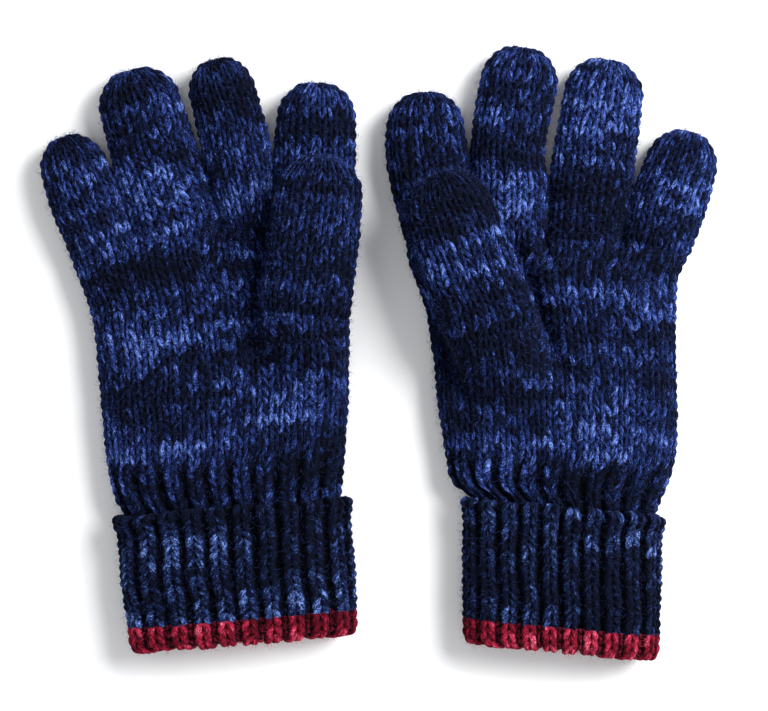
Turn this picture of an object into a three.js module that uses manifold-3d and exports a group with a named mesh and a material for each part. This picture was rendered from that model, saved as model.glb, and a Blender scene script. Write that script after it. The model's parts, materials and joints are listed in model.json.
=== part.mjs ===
// A pair of knitted gloves with turned-up ribbed cuffs, lying palm up on a flat surface.
// Millimetres, +Z up, fingertips towards +Y, the right-hand glove on the -X side.
// Each glove is drawn about the middle of its wrist with +X towards its thumb; side is 1
// for the right-hand glove and -1 for the left-hand one, and mirrors it into place.

import * as THREE from 'three';
import { ParametricGeometry } from 'three/addons/geometries/ParametricGeometry.js';
import { mergeVertices } from 'three/addons/utils/BufferGeometryUtils.js';
import Module from 'manifold-3d';

const wasm = await Module();
wasm.setup();

// ---- fabric and clearances -------------------------------------------------------------

const knitWall = 2.6;          // stocking-stitch wall of the hand, fingers and thumb
const ribWall = 3.0;           // each of the two layers of the ribbed cuff
const contactWall = 1.0;       // conductive yarn cap inside a fingertip
const joinGap = 0.4;           // between two knitted pieces that meet end to end
const layerGap = 0.5;          // between the two layers of the cuff
const fingerGap = 0.9;         // least gap between neighbouring fingers at the knuckle line
const contactGap = 0.5;        // between a contact cap and the fingertip around it

// ---- thicknesses of the glove as it lies -----------------------------------------------

const palmHeight = 19;
const fingerHeight = 17;
const fingertipHeight = 15.5;
const thumbHeight = 15.6;
const thumbLift = 0.8;         // of the thumb above the palm and the fingers that it lies over
const cuffHeight = 23;
const hemHeight = 9.5;         // of the coloured fold along the wrist end
const hemRounding = 2.4;
const cuffMouthFlare = 2.2;    // how far the free edge of the cuff stands out on each side

// ---- the two gloves ---------------------------------------------------------------------
// width is a finger's widest; it is narrower by rootTaper at its knuckle and by tipTaper at
// its tip, as the cuff is by footTaper at its foot. near is the distance from the knuckle to
// the middle joint, far from there to the tip. Leans are degrees from +Y towards the thumb.
// apart sets a finger off from the one before it. A finger whose knuckle is under the thumb
// bends at its middle joint only.

const rightGlove = {
  name: 'right',
  side: 1,
  wristAt: -56,
  heel: { y: 16, width: 92, shift: -2.2 },
  palm: { y: 46, width: 95.6, shift: -3 },
  ball: { y: 80, width: 99.6, shift: -4.8 },
  knuckles: { y: 112.4, slant: 7, shift: -9.8 },
  cuff: { length: 51, width: 90, footTaper: 3, tilt: 5, slant: 4.6 },
  fingers: [
    { name: 'little', width: 26.6, rootTaper: 1.6, tipTaper: 1,
      near: 17, far: 19.5, leanNear: -21, leanFar: -20 },
    { name: 'ring', width: 33, rootTaper: 0.6, tipTaper: 2,
      near: 25, far: 33.5, leanNear: -17.6, leanFar: -16.4 },
    { name: 'middle', width: 26, rootTaper: 6.8, tipTaper: 0,
      near: 22.5, far: 35.5, leanNear: -10, leanFar: -14,
      apart: 0.8 },
    { name: 'index', width: 31, rootTaper: 3, tipTaper: 1.5,
      near: 23, far: 21.5, leanNear: 0, leanFar: 3,
      apart: 1.6, fixedBase: true, contact: true },
  ],
  thumb: { width: 34, rootTaper: 0.6, tipTaper: 2, near: 26, far: 26.5, lean: 6.6,
    rootX: 29.2, rootY: 80 },
};

const leftGlove = {
  name: 'left',
  side: -1,
  wristAt: 70,
  heel: { y: 16, width: 88, shift: 0 },
  palm: { y: 46, width: 92.6, shift: 2.2 },
  ball: { y: 80, width: 95.6, shift: 4.2 },
  knuckles: { y: 107.6, slant: 3, shift: 5.2 },
  cuff: { length: 54, width: 77, footTaper: 1.5, tilt: 0.8, slant: 5.4 },
  fingers: [
    { name: 'little', width: 28.4, rootTaper: 2.4, tipTaper: 1,
      near: 17, far: 22.5, leanNear: -17.4, leanFar: -17.6 },
    { name: 'ring', width: 31.4, rootTaper: 3.4, tipTaper: 0.6,
      near: 26, far: 38.5, leanNear: -6.5, leanFar: -8.5 },
    { name: 'middle', width: 31, rootTaper: 5.5, tipTaper: 1,
      near: 29, far: 38.5, leanNear: 0, leanFar: -7.5,
      apart: 1.2, fixedBase: true },
    { name: 'index', width: 31, rootTaper: 4, tipTaper: 1.5,
      near: 26, far: 23, leanNear: 10, leanFar: 3,
      fixedBase: true, contact: true },
  ],
  thumb: { width: 35.4, rootTaper: 0.6, tipTaper: 2, near: 27, far: 30.5, lean: 20.5,
    rootX: 28.6, rootY: 72 },
};

// ---- how the forms are divided ----------------------------------------------------------

const arcSteps = 6;            // facets round each end of a flattened section
const around = 2 * (arcSteps + 1);
const endRoundness = 1.1;      // half-width of a section's round end over its half-height
const domeSteps = 3;
const domeLength = 13;         // of a fingertip
const webDepth = 4.2;          // the fingers stand free this far below their knuckle lines
const rootDepth = 14;          // a finger's tube runs this far down into the hand
const contactLength = 15;      // of the conductive cap
const thumbClimb = 18;         // the thumb climbs onto the palm over this length below its knuckle
const thumbFoot = 22;          // and runs on this far inside the hand
const thumbSet = 0.58;         // share of its full height that it has reached where it leaves the palm
const shoulder = 10;           // the palm starts to draw in to its fingers this far below the webs

const upwards = new THREE.Vector3(0, 0, 1);
const rad = THREE.MathUtils.degToRad;

function travel(lean) {
  return new THREE.Vector2(Math.sin(rad(lean)), Math.cos(rad(lean)));
}

// ---- materials --------------------------------------------------------------------------

function fabricMaterial(color, roughness, metalness = 0) {
  return new THREE.MeshStandardMaterial({ color, roughness, metalness });
}

const blueMarl = fabricMaterial(0x1c2f66, 0.95);
const ribMarl = fabricMaterial(0x1a2444, 0.95);
const redMarl = fabricMaterial(0x9c1733, 0.92);
const conductiveYarn = fabricMaterial(0x55585f, 0.6, 0.3);

// ---- flattened tubes --------------------------------------------------------------------
// A tube follows a smooth line through its stations. Each station gives the middle of the
// section in plan, its width and height, and the height of its underside above the surface.
// The sections stand square to the line, or skew degrees off square.

class Tube {
  constructor(stations, skew = 0) {
    this.skew = rad(skew);
    this.line = new THREE.CatmullRomCurve3(stations.map((s) => new THREE.Vector3(s.x, s.y, 0)));
    this.girth = new THREE.CatmullRomCurve3(
      stations.map((s) => new THREE.Vector3(s.width, s.height, s.bottom)),
    );
    this.length = this.line.getLength();
    this.stationSpacing = 1 / (stations.length - 1);
  }

  // distance along the tube of one of its stations
  distanceOf(station) {
    const divisions = 60;
    const lengths = this.line.getLengths(Math.round(divisions / this.stationSpacing));
    return lengths[divisions * station];
  }

  // middle, direction and girth of the section at a distance along the tube; no section
  // dips below the surface
  at(distance) {
    const share = THREE.MathUtils.clamp(distance / this.length, 0, 1);
    const overrun = distance - share * this.length;
    const tangent = this.line.getTangentAt(share);
    const middle = this.line.getPointAt(share).addScaledVector(tangent, overrun);
    tangent.applyAxisAngle(upwards, this.skew);
    const girth = this.girth.getPoint(this.line.getUtoTmapping(share));
    return { middle, tangent, width: girth.x, height: girth.y, bottom: Math.max(girth.z, 0) };
  }
}

// a corner of the flattened section: two round ends joined by a flat top and a flat bottom
function sectionCorner(corner, halfWidth, halfHeight) {
  const end = corner <= arcSteps ? 1 : -1;
  const turn = ((corner % (arcSteps + 1)) / arcSteps - 0.5) * Math.PI;
  const round = Math.min(halfHeight * endRoundness, halfWidth);
  return [end * (halfWidth - round + round * Math.cos(turn)), end * halfHeight * Math.sin(turn)];
}

// a closed surface over a list of rows, each a section of the tube: at is its distance
// along the tube, inset how far it lies inside the outline, shrink its size (0 at a pole),
// and flare how far it spreads sideways and upwards while its underside stays level
function tubeGeometry(tube, rows, side) {
  const corner = (u, v, target) => {
    const row = rows[Math.round(v * (rows.length - 1))];
    const step = Math.round(u * around) % around;
    const { middle, tangent, width, height, bottom } = tube.at(row.at);
    const flare = row.flare ?? 0;
    const [across, up] = sectionCorner(
      side > 0 ? (around - step) % around : step,
      (width / 2 - row.inset + flare) * row.shrink,
      (height / 2 - row.inset + flare) * row.shrink,
    );
    target.set(
      side * (middle.x + across * tangent.y),
      middle.y - across * tangent.x,
      bottom + height / 2 + flare + up,
    );
  };
  return new ParametricGeometry(corner, around, rows.length - 1);
}

function plainRows(from, to, steps, inset) {
  return Array.from({ length: steps + 1 }, (_, i) => ({
    at: THREE.MathUtils.lerp(from, to, i / steps), inset, shrink: 1,
  }));
}

function domeRows(tip, inset) {
  return Array.from({ length: domeSteps }, (_, i) => {
    const turn = ((domeSteps - 1 - i) / domeSteps) * (Math.PI / 2);
    const depth = (domeLength - inset) * (1 - Math.cos(turn));
    return { at: tip - inset - depth, inset, shrink: Math.sqrt(Math.sin(turn)) };
  });
}

// a bar of the tube's full outline, or inset by a wall, closed flat at both ends
function barRows(from, to, steps, inset) {
  const rows = plainRows(from, to, steps, inset);
  return [{ ...rows[0], shrink: 0 }, ...rows, { ...rows[steps], shrink: 0 }];
}

// a hollow sleeve, open at both ends
function sleeveRows(from, to, steps, wall, outset = 0) {
  const outer = plainRows(from, to, steps, outset);
  const inner = plainRows(from, to, steps, outset + wall).reverse();
  return [...outer, ...inner, outer[0]];
}

// a hollow end piece, open where it starts and domed at the tip
function tipRows(from, tip, steps, wall, outset = 0) {
  const outer = [...plainRows(from, tip - domeLength, steps, outset), ...domeRows(tip, outset)];
  const inset = outset + wall;
  const inner = [...plainRows(from, tip - domeLength, steps, inset), ...domeRows(tip, inset)];
  return [...inner.reverse(), ...outer];
}

// ---- closed solids ----------------------------------------------------------------------

function weld(geometry) {
  geometry.deleteAttribute('normal');
  geometry.deleteAttribute('uv');
  const welded = mergeVertices(geometry, 1e-3);
  const index = welded.index.array;
  const kept = [];
  for (let i = 0; i < index.length; i += 3) {
    const [a, b, c] = [index[i], index[i + 1], index[i + 2]];
    if (a !== b && b !== c && c !== a) {
      kept.push(a, b, c);
    }
  }
  welded.setIndex(kept);
  return welded;
}

function toManifold(geometry) {
  const welded = weld(geometry);
  return new wasm.Manifold(new wasm.Mesh({
    numProp: 3,
    vertProperties: new Float32Array(welded.attributes.position.array),
    triVerts: new Uint32Array(welded.index.array),
  }));
}

function fromManifold(solid) {
  const mesh = solid.getMesh();
  const geometry = new THREE.BufferGeometry();
  geometry.setAttribute('position', new THREE.BufferAttribute(mesh.vertProperties, 3));
  geometry.setIndex(new THREE.BufferAttribute(mesh.triVerts, 1));
  geometry.computeVertexNormals();
  return geometry;
}

function join(solids) {
  return solids.reduce((sum, next) => sum.add(next));
}

function namedMesh(glove, part, geometry, material, hinge) {
  const mesh = new THREE.Mesh(geometry, material);
  mesh.name = `${glove.name}_${part}`;
  if (hinge) {
    mesh.userData.hinge = hinge;
  }
  return mesh;
}

// a hinge line across the tube at a distance along it, at a share of the section's height;
// turning about it lifts what lies beyond
function crossHinge(glove, tube, distance) {
  const { middle, tangent, height, bottom } = tube.at(distance);
  return {
    at: [glove.side * middle.x, middle.y, bottom + height],
    axis: [tangent.y, -glove.side * tangent.x, 0],
  };
}

// ---- where things lie in one glove ------------------------------------------------------

// middle of each finger's root, side by side along the slanted knuckle line
function placeFingers(glove) {
  const { y, slant, shift } = glove.knuckles;
  const along = new THREE.Vector2(Math.cos(rad(slant)), Math.sin(rad(slant)));
  const footprints = glove.fingers.map(
    (f) => (f.width - f.rootTaper) / Math.cos(rad(f.leanNear + slant)),
  );
  const gaps = glove.fingers.map((f, i) => (i === 0 ? 0 : fingerGap + (f.apart ?? 0)));
  const span = [...footprints, ...gaps].reduce((sum, w) => sum + w, 0);
  let edge = -span / 2;
  const roots = footprints.map((footprint, i) => {
    const middle = edge + gaps[i] + footprint / 2;
    edge += gaps[i] + footprint;
    return new THREE.Vector2(shift, y).addScaledVector(along, middle);
  });
  return { roots, span };
}

function fingerTube(finger, root) {
  const near = travel(finger.leanNear);
  const far = travel(finger.leanFar);
  const inside = root.clone().addScaledVector(near, -rootDepth);
  const joint = root.clone().addScaledVector(near, finger.near);
  const tip = joint.clone().addScaledVector(far, finger.far);
  const rootWidth = finger.width - finger.rootTaper;
  const tipWidth = finger.width - finger.tipTaper;
  return new Tube([
    { x: inside.x, y: inside.y, width: rootWidth, height: fingerHeight, bottom: 0 },
    { x: root.x, y: root.y, width: rootWidth, height: fingerHeight, bottom: 0 },
    { x: joint.x, y: joint.y, width: finger.width, height: fingerHeight, bottom: 0 },
    { x: tip.x, y: tip.y, width: tipWidth, height: fingertipHeight, bottom: 0 },
  ]);
}

// the thumb climbs out of the hand at its root and then lies over the palm and fingers
function thumbTube(glove) {
  const { width, rootTaper, tipTaper, near, far, lean, rootX, rootY } = glove.thumb;
  const ahead = travel(lean);
  const spot = (distance) => new THREE.Vector2(rootX, rootY).addScaledVector(ahead, distance);
  const foot = spot(-thumbClimb).addScaledVector(travel(lean / 2), -thumbFoot);
  const footWidth = width - rootTaper - 3;
  const rootWidth = width - rootTaper;
  const tipWidth = width - tipTaper;
  const height = thumbHeight;
  const rootBottom = Math.max(palmHeight, fingerHeight) + thumbLift;
  const tipBottom = fingerHeight + thumbLift;
  const jointBottom = THREE.MathUtils.lerp(rootBottom, tipBottom, 0.4);
  return new Tube([
    { ...foot, width: footWidth, height, bottom: knitWall / 2 },
    { ...spot(-thumbClimb), width: rootWidth, height, bottom: rootBottom * thumbSet },
    { ...spot(0), width: rootWidth, height, bottom: rootBottom },
    { ...spot(near), width, height, bottom: jointBottom },
    { ...spot(near + far), width: tipWidth, height, bottom: tipBottom },
  ]);
}

const thumbRootStation = 2;    // the thumb's knuckle, where it leaves the hand
const thumbJointStation = 3;

// the hand from the wrist to the knuckles; its wrist end is the size of the cuff's inner layer
function palmTube(glove, span) {
  const { heel, palm, ball, knuckles, cuff } = glove;
  const up = travel(-knuckles.slant);
  const wristInset = ribWall + layerGap;
  const wristWidth = cuff.width - 2 * wristInset;
  const wristHeight = cuffHeight - 2 * wristInset;
  const rise = travel(-cuff.slant).multiplyScalar(5);
  const web = new THREE.Vector2(knuckles.shift, knuckles.y).addScaledVector(up, -webDepth);
  const below = web.clone().addScaledVector(up, -shoulder);
  const level = (place, width, height) => ({ x: place.x, y: place.y, width, height, bottom: 0 });
  return new Tube([
    { ...level({ x: 0, y: 0 }, wristWidth, wristHeight), bottom: wristInset },
    { ...level(rise, (wristWidth + heel.width) / 2, wristHeight + 1.5), bottom: wristInset / 3 },
    level({ x: heel.shift, y: heel.y }, heel.width, palmHeight),
    level({ x: palm.shift, y: palm.y }, palm.width, palmHeight),
    level({ x: ball.shift, y: ball.y }, ball.width, palmHeight - 0.6),
    level(below, span - 6, palmHeight - 1),
    level(web, span - 0.6, fingerHeight),
  ]);
}

// the cuff runs from the wrist towards its foot, so distances along it are from the wrist
function cuffTube(glove) {
  const { cuff } = glove;
  const down = travel(-cuff.tilt).negate();
  const station = (distance, width) => ({
    x: down.x * distance, y: down.y * distance, width, height: cuffHeight, bottom: 0,
  });
  const stations = [
    station(0, cuff.width),
    station(cuff.length / 2, cuff.width),
    station(cuff.length, cuff.width - cuff.footTaper),
  ];
  return new Tube(stations, cuff.slant - cuff.tilt);
}

// ---- sub-parts --------------------------------------------------------------------------

// palm and back of the hand with a short tube for each finger and the root of the thumb,
// hollow throughout and open at the wrist and at every tube
function handBody(glove, palm, fingers, thumb) {
  const { side } = glove;
  const bar = (tube, from, to, steps, inset) =>
    toManifold(tubeGeometry(tube, barRows(from, to, steps, inset), side));
  const past = 3;
  const fingerRoot = rootDepth;
  const thumbRoot = thumb.distanceOf(thumbRootStation);
  const outside = join([
    bar(palm, joinGap, palm.length, 8, 0),
    bar(thumb, 0, thumbRoot, 5, 0),
    ...fingers.map((tube) => bar(tube, 0, fingerRoot, 2, 0)),
  ]);
  const inside = join([
    bar(palm, joinGap - past, palm.length - knitWall, 8, knitWall),
    bar(thumb, knitWall, thumbRoot + past, 5, knitWall),
    ...fingers.map((tube) => bar(tube, knitWall, fingerRoot + past, 2, knitWall)),
  ]);
  return namedMesh(glove, 'hand', fromManifold(outside.subtract(inside)), blueMarl);
}

function fingerBase(glove, finger, tube) {
  const from = rootDepth + joinGap;
  const to = tube.distanceOf(2) - joinGap / 2;
  const geometry = weld(tubeGeometry(tube, sleeveRows(from, to, 2, knitWall), glove.side));
  const hinge = finger.fixedBase ? undefined : crossHinge(glove, tube, rootDepth);
  return namedMesh(glove, `${finger.name}_base`, geometry, blueMarl, hinge);
}

function fingerEnd(glove, finger, tube) {
  const joint = tube.distanceOf(2);
  const rows = tipRows(joint + joinGap / 2, tube.length, 1, knitWall);
  const geometry = weld(tubeGeometry(tube, rows, glove.side));
  return namedMesh(glove, `${finger.name}_end`, geometry, blueMarl, crossHinge(glove, tube, joint));
}

// conductive yarn worked inside a fingertip so that it reaches a touch screen
function contactCap(glove, name, tube) {
  const inset = knitWall + contactGap;
  const rows = tipRows(tube.length - contactLength, tube.length, 1, contactWall, inset);
  const geometry = weld(tubeGeometry(tube, rows, glove.side));
  return namedMesh(glove, `${name}_contact`, geometry, conductiveYarn);
}

function thumbBase(glove, tube) {
  const root = tube.distanceOf(thumbRootStation);
  const joint = tube.distanceOf(thumbJointStation);
  const rows = sleeveRows(root + joinGap, joint - joinGap / 2, 2, knitWall);
  const geometry = weld(tubeGeometry(tube, rows, glove.side));
  return namedMesh(glove, 'thumb_base', geometry, blueMarl, crossHinge(glove, tube, root));
}

function thumbEnd(glove, tube) {
  const joint = tube.distanceOf(thumbJointStation);
  const rows = tipRows(joint + joinGap / 2, tube.length, 1, knitWall);
  const geometry = weld(tubeGeometry(tube, rows, glove.side));
  return namedMesh(glove, 'thumb_end', geometry, blueMarl, crossHinge(glove, tube, joint));
}

// inner layer of the cuff, next to the wearer's wrist
function wristRib(glove, tube) {
  const foot = glove.cuff.length - hemHeight - joinGap;
  const rows = sleeveRows(joinGap, foot, 2, ribWall, ribWall + layerGap);
  const geometry = weld(tubeGeometry(tube, rows, glove.side));
  const hinge = crossHinge(glove, tube, 0);
  hinge.at[2] -= ribWall + layerGap;
  return namedMesh(glove, 'wrist_rib', geometry, ribMarl, hinge);
}

// outer layer of the cuff, turned up over the inner one, with a free edge towards the hand
function turnedCuff(glove, tube) {
  const mouth = 2.5;
  const foot = glove.cuff.length - hemHeight - joinGap;
  const edge = 7;
  const outer = [
    { at: mouth, inset: 0, shrink: 1, flare: cuffMouthFlare },
    { at: mouth + edge / 2, inset: 0, shrink: 1, flare: cuffMouthFlare * 0.75 },
    ...plainRows(mouth + edge, foot, 2, 0),
  ];
  const inner = [
    ...plainRows(mouth + edge, foot, 2, ribWall).reverse(),
    { at: mouth, inset: ribWall, shrink: 1, flare: cuffMouthFlare },
  ];
  const rows = [...outer, ...inner, outer[0]];
  const geometry = weld(tubeGeometry(tube, rows, glove.side));
  return namedMesh(glove, 'turned_cuff', geometry, ribMarl);
}

// coloured fold that joins the two layers of the cuff at its foot
function redHem(glove, tube) {
  const { length } = glove.cuff;
  const thickness = 2 * ribWall + layerGap;
  const outer = [
    { at: length - hemHeight, inset: 0, shrink: 1 },
    { at: length - hemRounding, inset: 0, shrink: 1 },
    { at: length, inset: hemRounding, shrink: 1 },
  ];
  const inner = [
    { at: length, inset: thickness - hemRounding / 2, shrink: 1 },
    { at: length - hemRounding, inset: thickness, shrink: 1 },
    { at: length - hemHeight, inset: thickness, shrink: 1 },
  ];
  const rows = [...outer, ...inner, outer[0]];
  const geometry = weld(tubeGeometry(tube, rows, glove.side));
  return namedMesh(glove, 'red_hem', geometry, redMarl);
}

function buildGlove(glove) {
  const group = new THREE.Group();
  const { roots, span } = placeFingers(glove);
  const tubes = glove.fingers.map((finger, i) => fingerTube(finger, roots[i]));
  const palm = palmTube(glove, span);
  const thumb = thumbTube(glove);
  const cuff = cuffTube(glove);

  group.add(handBody(glove, palm, tubes, thumb));
  glove.fingers.forEach((finger, i) => {
    group.add(fingerBase(glove, finger, tubes[i]));
    group.add(fingerEnd(glove, finger, tubes[i]));
    if (finger.contact) {
      group.add(contactCap(glove, finger.name, tubes[i]));
    }
  });
  group.add(thumbBase(glove, thumb));
  group.add(thumbEnd(glove, thumb));
  group.add(contactCap(glove, 'thumb', thumb));
  group.add(wristRib(glove, cuff));
  group.add(turnedCuff(glove, cuff));
  group.add(redHem(glove, cuff));
  group.position.x = glove.wristAt;
  return group;
}

// ---- the pair, centred on its own footprint ---------------------------------------------

const pair = new THREE.Group();
pair.add(buildGlove(rightGlove));
pair.add(buildGlove(leftGlove));
const footprint = new THREE.Box3().setFromObject(pair, true);
const centre = footprint.getCenter(new THREE.Vector3());
pair.position.set(-centre.x, -centre.y, -footprint.min.z);

export default pair;
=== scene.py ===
# A pair of knitted gloves with turned-up ribbed cuffs, lying palm up on a table.
# Each piece is a tube of knitting. Its line and its girth are read off the frame, and its
# surface is raised into stitches: slanted legs in pairs, in columns, in rows.
import json
import bpy
import numpy as np
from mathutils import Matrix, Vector

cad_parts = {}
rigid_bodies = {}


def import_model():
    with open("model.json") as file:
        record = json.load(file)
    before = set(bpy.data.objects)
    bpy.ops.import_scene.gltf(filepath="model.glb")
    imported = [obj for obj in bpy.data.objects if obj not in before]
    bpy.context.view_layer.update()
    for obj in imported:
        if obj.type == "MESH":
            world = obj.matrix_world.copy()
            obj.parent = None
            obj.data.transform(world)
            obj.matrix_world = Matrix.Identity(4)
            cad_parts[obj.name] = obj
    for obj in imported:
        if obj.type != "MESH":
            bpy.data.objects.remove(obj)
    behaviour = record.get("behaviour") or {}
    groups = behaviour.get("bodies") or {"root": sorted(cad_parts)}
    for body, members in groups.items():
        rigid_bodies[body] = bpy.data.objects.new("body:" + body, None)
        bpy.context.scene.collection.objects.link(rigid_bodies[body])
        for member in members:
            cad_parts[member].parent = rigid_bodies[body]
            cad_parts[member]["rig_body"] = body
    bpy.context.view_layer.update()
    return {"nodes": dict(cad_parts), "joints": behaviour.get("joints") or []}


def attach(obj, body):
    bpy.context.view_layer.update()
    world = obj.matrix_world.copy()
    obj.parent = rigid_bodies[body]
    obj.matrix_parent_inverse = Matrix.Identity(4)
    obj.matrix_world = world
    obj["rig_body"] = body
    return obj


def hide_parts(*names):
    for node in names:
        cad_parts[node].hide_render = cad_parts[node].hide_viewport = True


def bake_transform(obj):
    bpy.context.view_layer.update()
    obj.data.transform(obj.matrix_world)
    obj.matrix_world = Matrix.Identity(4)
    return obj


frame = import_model()
mm = 0.001
print("frame loaded:", len(frame["nodes"]), "nodes")



knitting = {
    "stitchHeight": 3.7 * mm,   # one row
    "stitchWidth": 4.9 * mm,    # one column, two legs
    "relief": 1.3 * mm,         # from a crease up to the crest of a leg
    "legSteps": 6,              # faces across a leg
    "rowSteps": 7,              # faces along a row
    "wall": 2.4 * mm,
    "unevenness": 0.5 * mm,     # how far the fabric wanders in and out
    "sway": 0.3,                # in columns, how far whole rows lean to a side
    "drift": 0.34,              # in columns, how far single columns wander
    "shift": 0.3,               # in rows, how far stitches lie above or below their row
    "plumpness": 0.4,           # how much of a leg's relief varies from leg to leg
    "bulge": 1.45,              # rows on a rounded tip, over those on a straight stretch as long
    "squeeze": 0.03,            # how far the faces crowd towards the creases
}

ribbing = {
    "stitchHeight": 3.1 * mm,
    "stitchWidth": 4.1 * mm,    # mean of a knit column and the furrow beside it
    "knitShare": 0.74,          # of a rib's width that its knit column takes
    "furrow": 2.2 * mm,         # how far the furrows lie below the ribs
    "wall": 2.8 * mm,
}

# one leg of a stitch, with widths in half stitches from the stitch's middle and heights in rows
leg = {
    "foot": (0.26, -0.04),
    "head": (0.76, 1.02),
    "girth": 0.42,              # half its thickness, in half stitches
    "arch": 0.5,                # how much lower its ends lie than its middle
}


# random numbers laid on a grid of whole steps, joined smoothly between them; the grid
# repeats after period steps in x
def valueNoise(x, y, seed, period=None):
    def lattice(i, j):
        i = i % period if period else i
        mixed = (i * 374761393 + j * 668265263 + seed * 1442695041) & 0xFFFFFFFF
        mixed = ((mixed ^ (mixed >> 13)) * 1274126177) & 0xFFFFFFFF
        return ((mixed ^ (mixed >> 16)) & 0xFFFF) / 65535.0

    i, j = np.floor(x).astype(np.int64), np.floor(y).astype(np.int64)
    a, b = x - i, y - j
    a, b = a * a * (3 - 2 * a), b * b * (3 - 2 * b)
    low = lattice(i, j) * (1 - a) + lattice(i + 1, j) * a
    high = lattice(i, j + 1) * (1 - a) + lattice(i + 1, j + 1) * a
    return low * (1 - b) + high * b


# from 0 at low to 1 at high, along a smooth S
def ease(value, low, high):
    t = np.clip((value - low) / (high - low), 0, 1)
    return t * t * (3 - 2 * t)


# height of the knitting, 0 in a crease and 1 on a crest, and the row of the leg found there.
# A leg is a round cord from its foot to its head, so its height is a circle's, the root of
# one less the square of the distance from its middle line over its girth, times a sine arch
# along it. The highest of the legs of this row and of the rows before and after counts.
def legsAt(column, row, look):
    rowTall = 2 * look["stitchHeight"] / look["stitchWidth"]
    foot = np.array([leg["foot"][0], leg["foot"][1] * rowTall])
    way = np.array([leg["head"][0], leg["head"][1] * rowTall]) - foot
    across = np.abs(2 * (column % 1) - 1) - foot[0]
    best, owner = np.zeros(np.broadcast(column, row).shape), np.floor(row) + 0 * column
    for step in (-1, 0, 1):
        up = (row % 1 - step) * rowTall - foot[1]
        along = np.clip((across * way[0] + up * way[1]) / (way @ way), 0, 1)
        gap = np.hypot(across - along * way[0], up - along * way[1]) / leg["girth"]
        arch = 1 - leg["arch"] * (1 - np.sin(np.pi * along))
        height = np.maximum(1 - gap ** 2, 0) ** 0.5 * arch
        owner = np.where(height > best, np.floor(row) + step, owner)
        best = np.maximum(best, height)
    return best, owner


# height of a purl column: low round bars that lie across it, one to a row
def barHeight(column, row):
    over = np.abs(2 * ((row + 0.5) % 1) - 1)
    side = np.abs(2 * (column % 1) - 1)
    return 0.7 * (1 - over ** 2) ** 0.5 * (1 - side ** 2)


# A line is a list of stations, each [x, y, turn, half width, height, underside]. turn is the
# angle of its direction from +Y, clockwise.

def trianglesOf(node):
    mesh = frame["nodes"][node].data
    mesh.calc_loop_triangles()
    points = np.empty(len(mesh.vertices) * 3)
    mesh.vertices.foreach_get("co", points)
    corners = np.empty(len(mesh.loop_triangles) * 3, int)
    mesh.loop_triangles.foreach_get("vertices", corners)
    return points.reshape(-1, 3)[corners.reshape(-1, 3)]


def headingOf(turn):
    return np.array([np.sin(turn), np.cos(turn)])


def acrossOf(turn):
    return np.array([np.cos(turn), -np.sin(turn)])


def turnOf(vector):
    return np.arctan2(vector[0], vector[1])


# the station where a plane square to the direction cuts a node: every edge that crosses the
# plane gives a point, and the extent of those points gives the middle and the girth
def stationAt(node, place, turn):
    start = trianglesOf(node)
    end = np.roll(start, -1, axis=1)
    before = (start[..., :2] - place) @ headingOf(turn)
    after = (end[..., :2] - place) @ headingOf(turn)
    crossing = before * after < 0
    share = before[crossing] / (before[crossing] - after[crossing])
    points = start[crossing] + (end[crossing] - start[crossing]) * share[:, None]
    side = (points[:, :2] - place) @ acrossOf(turn)
    middle = place + acrossOf(turn) * (side.max() + side.min()) / 2
    low, high = points[:, 2].min(), points[:, 2].max()
    return np.array([*middle, turn, (side.max() - side.min()) / 2, high - low, low])


# distance along the direction from a place to a node's nearest and furthest point
def reachOf(node, place, turn):
    far = (trianglesOf(node)[..., :2].reshape(-1, 2) - place) @ headingOf(turn)
    return far.min(), far.max()


def middleOf(node):
    return trianglesOf(node).reshape(-1, 3).mean(0)[:2]


def jointOf(name):
    found = next(j for j in frame["joints"] if j["name"] == name)
    return np.array(found["pos_m"][:2]), np.array(found["axis"][:2])


# a smooth line through the stations by the Catmull-Rom formula, as a table of distance
# along it against the station values
def lineThrough(stations, steps=60):
    s = np.array(stations, float)
    s = np.vstack([2 * s[0] - s[1], s, 2 * s[-1] - s[-2]])
    t = np.linspace(0, 1, steps, endpoint=False)[:, None, None]
    a, b, c, d = s[:-3], s[1:-2], s[2:-1], s[3:]
    dense = 0.5 * (2 * b + (c - a) * t + (2 * a - 5 * b + 4 * c - d) * t ** 2
                   + (3 * b - a - 3 * c + d) * t ** 3)
    dense = np.vstack([dense.transpose(1, 0, 2).reshape(-1, s.shape[1]), s[-2]])
    distance = np.r_[0, np.cumsum(np.hypot(*np.diff(dense[:, :2], axis=0).T))]
    return {"distance": distance, "values": dense, "length": distance[-1]}


# the line's values at any distances; past its ends it runs straight on
def onLine(line, distance):
    inside = np.clip(distance, 0, line["length"])
    x, y, turn, half, height, low = (
        np.interp(inside, line["distance"], column) for column in line["values"].T)
    beyond = distance - inside
    return x + np.sin(turn) * beyond, y + np.cos(turn) * beyond, turn, half, height, low



# one point of a flattened ring, by its share of the way round from the middle of the
# underside: two flat runs joined by half circles set its place across, and a power curve
# of that place sets its height, so that the top is crowned and the underside flat
def ringPoint(share, half, height, crown, sole):
    around = share % 1
    bend = np.minimum(height * 0.55, half)
    flat = half - bend
    way = np.minimum(around, 1 - around) * (4 * flat + 2 * np.pi * bend)
    angle = np.clip((way - flat) / bend, 0, np.pi)
    across = np.minimum(way, flat) + bend * np.sin(angle) - np.maximum(way - flat - np.pi * bend, 0)
    part = np.clip(across / half, 0, 1)
    above = angle > np.pi / 2
    rise = np.where(above, (1 - part ** crown) ** 0.5, -((1 - part ** sole) ** 0.5))
    return np.where(around < 0.5, across, -across), rise * height / 2


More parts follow.
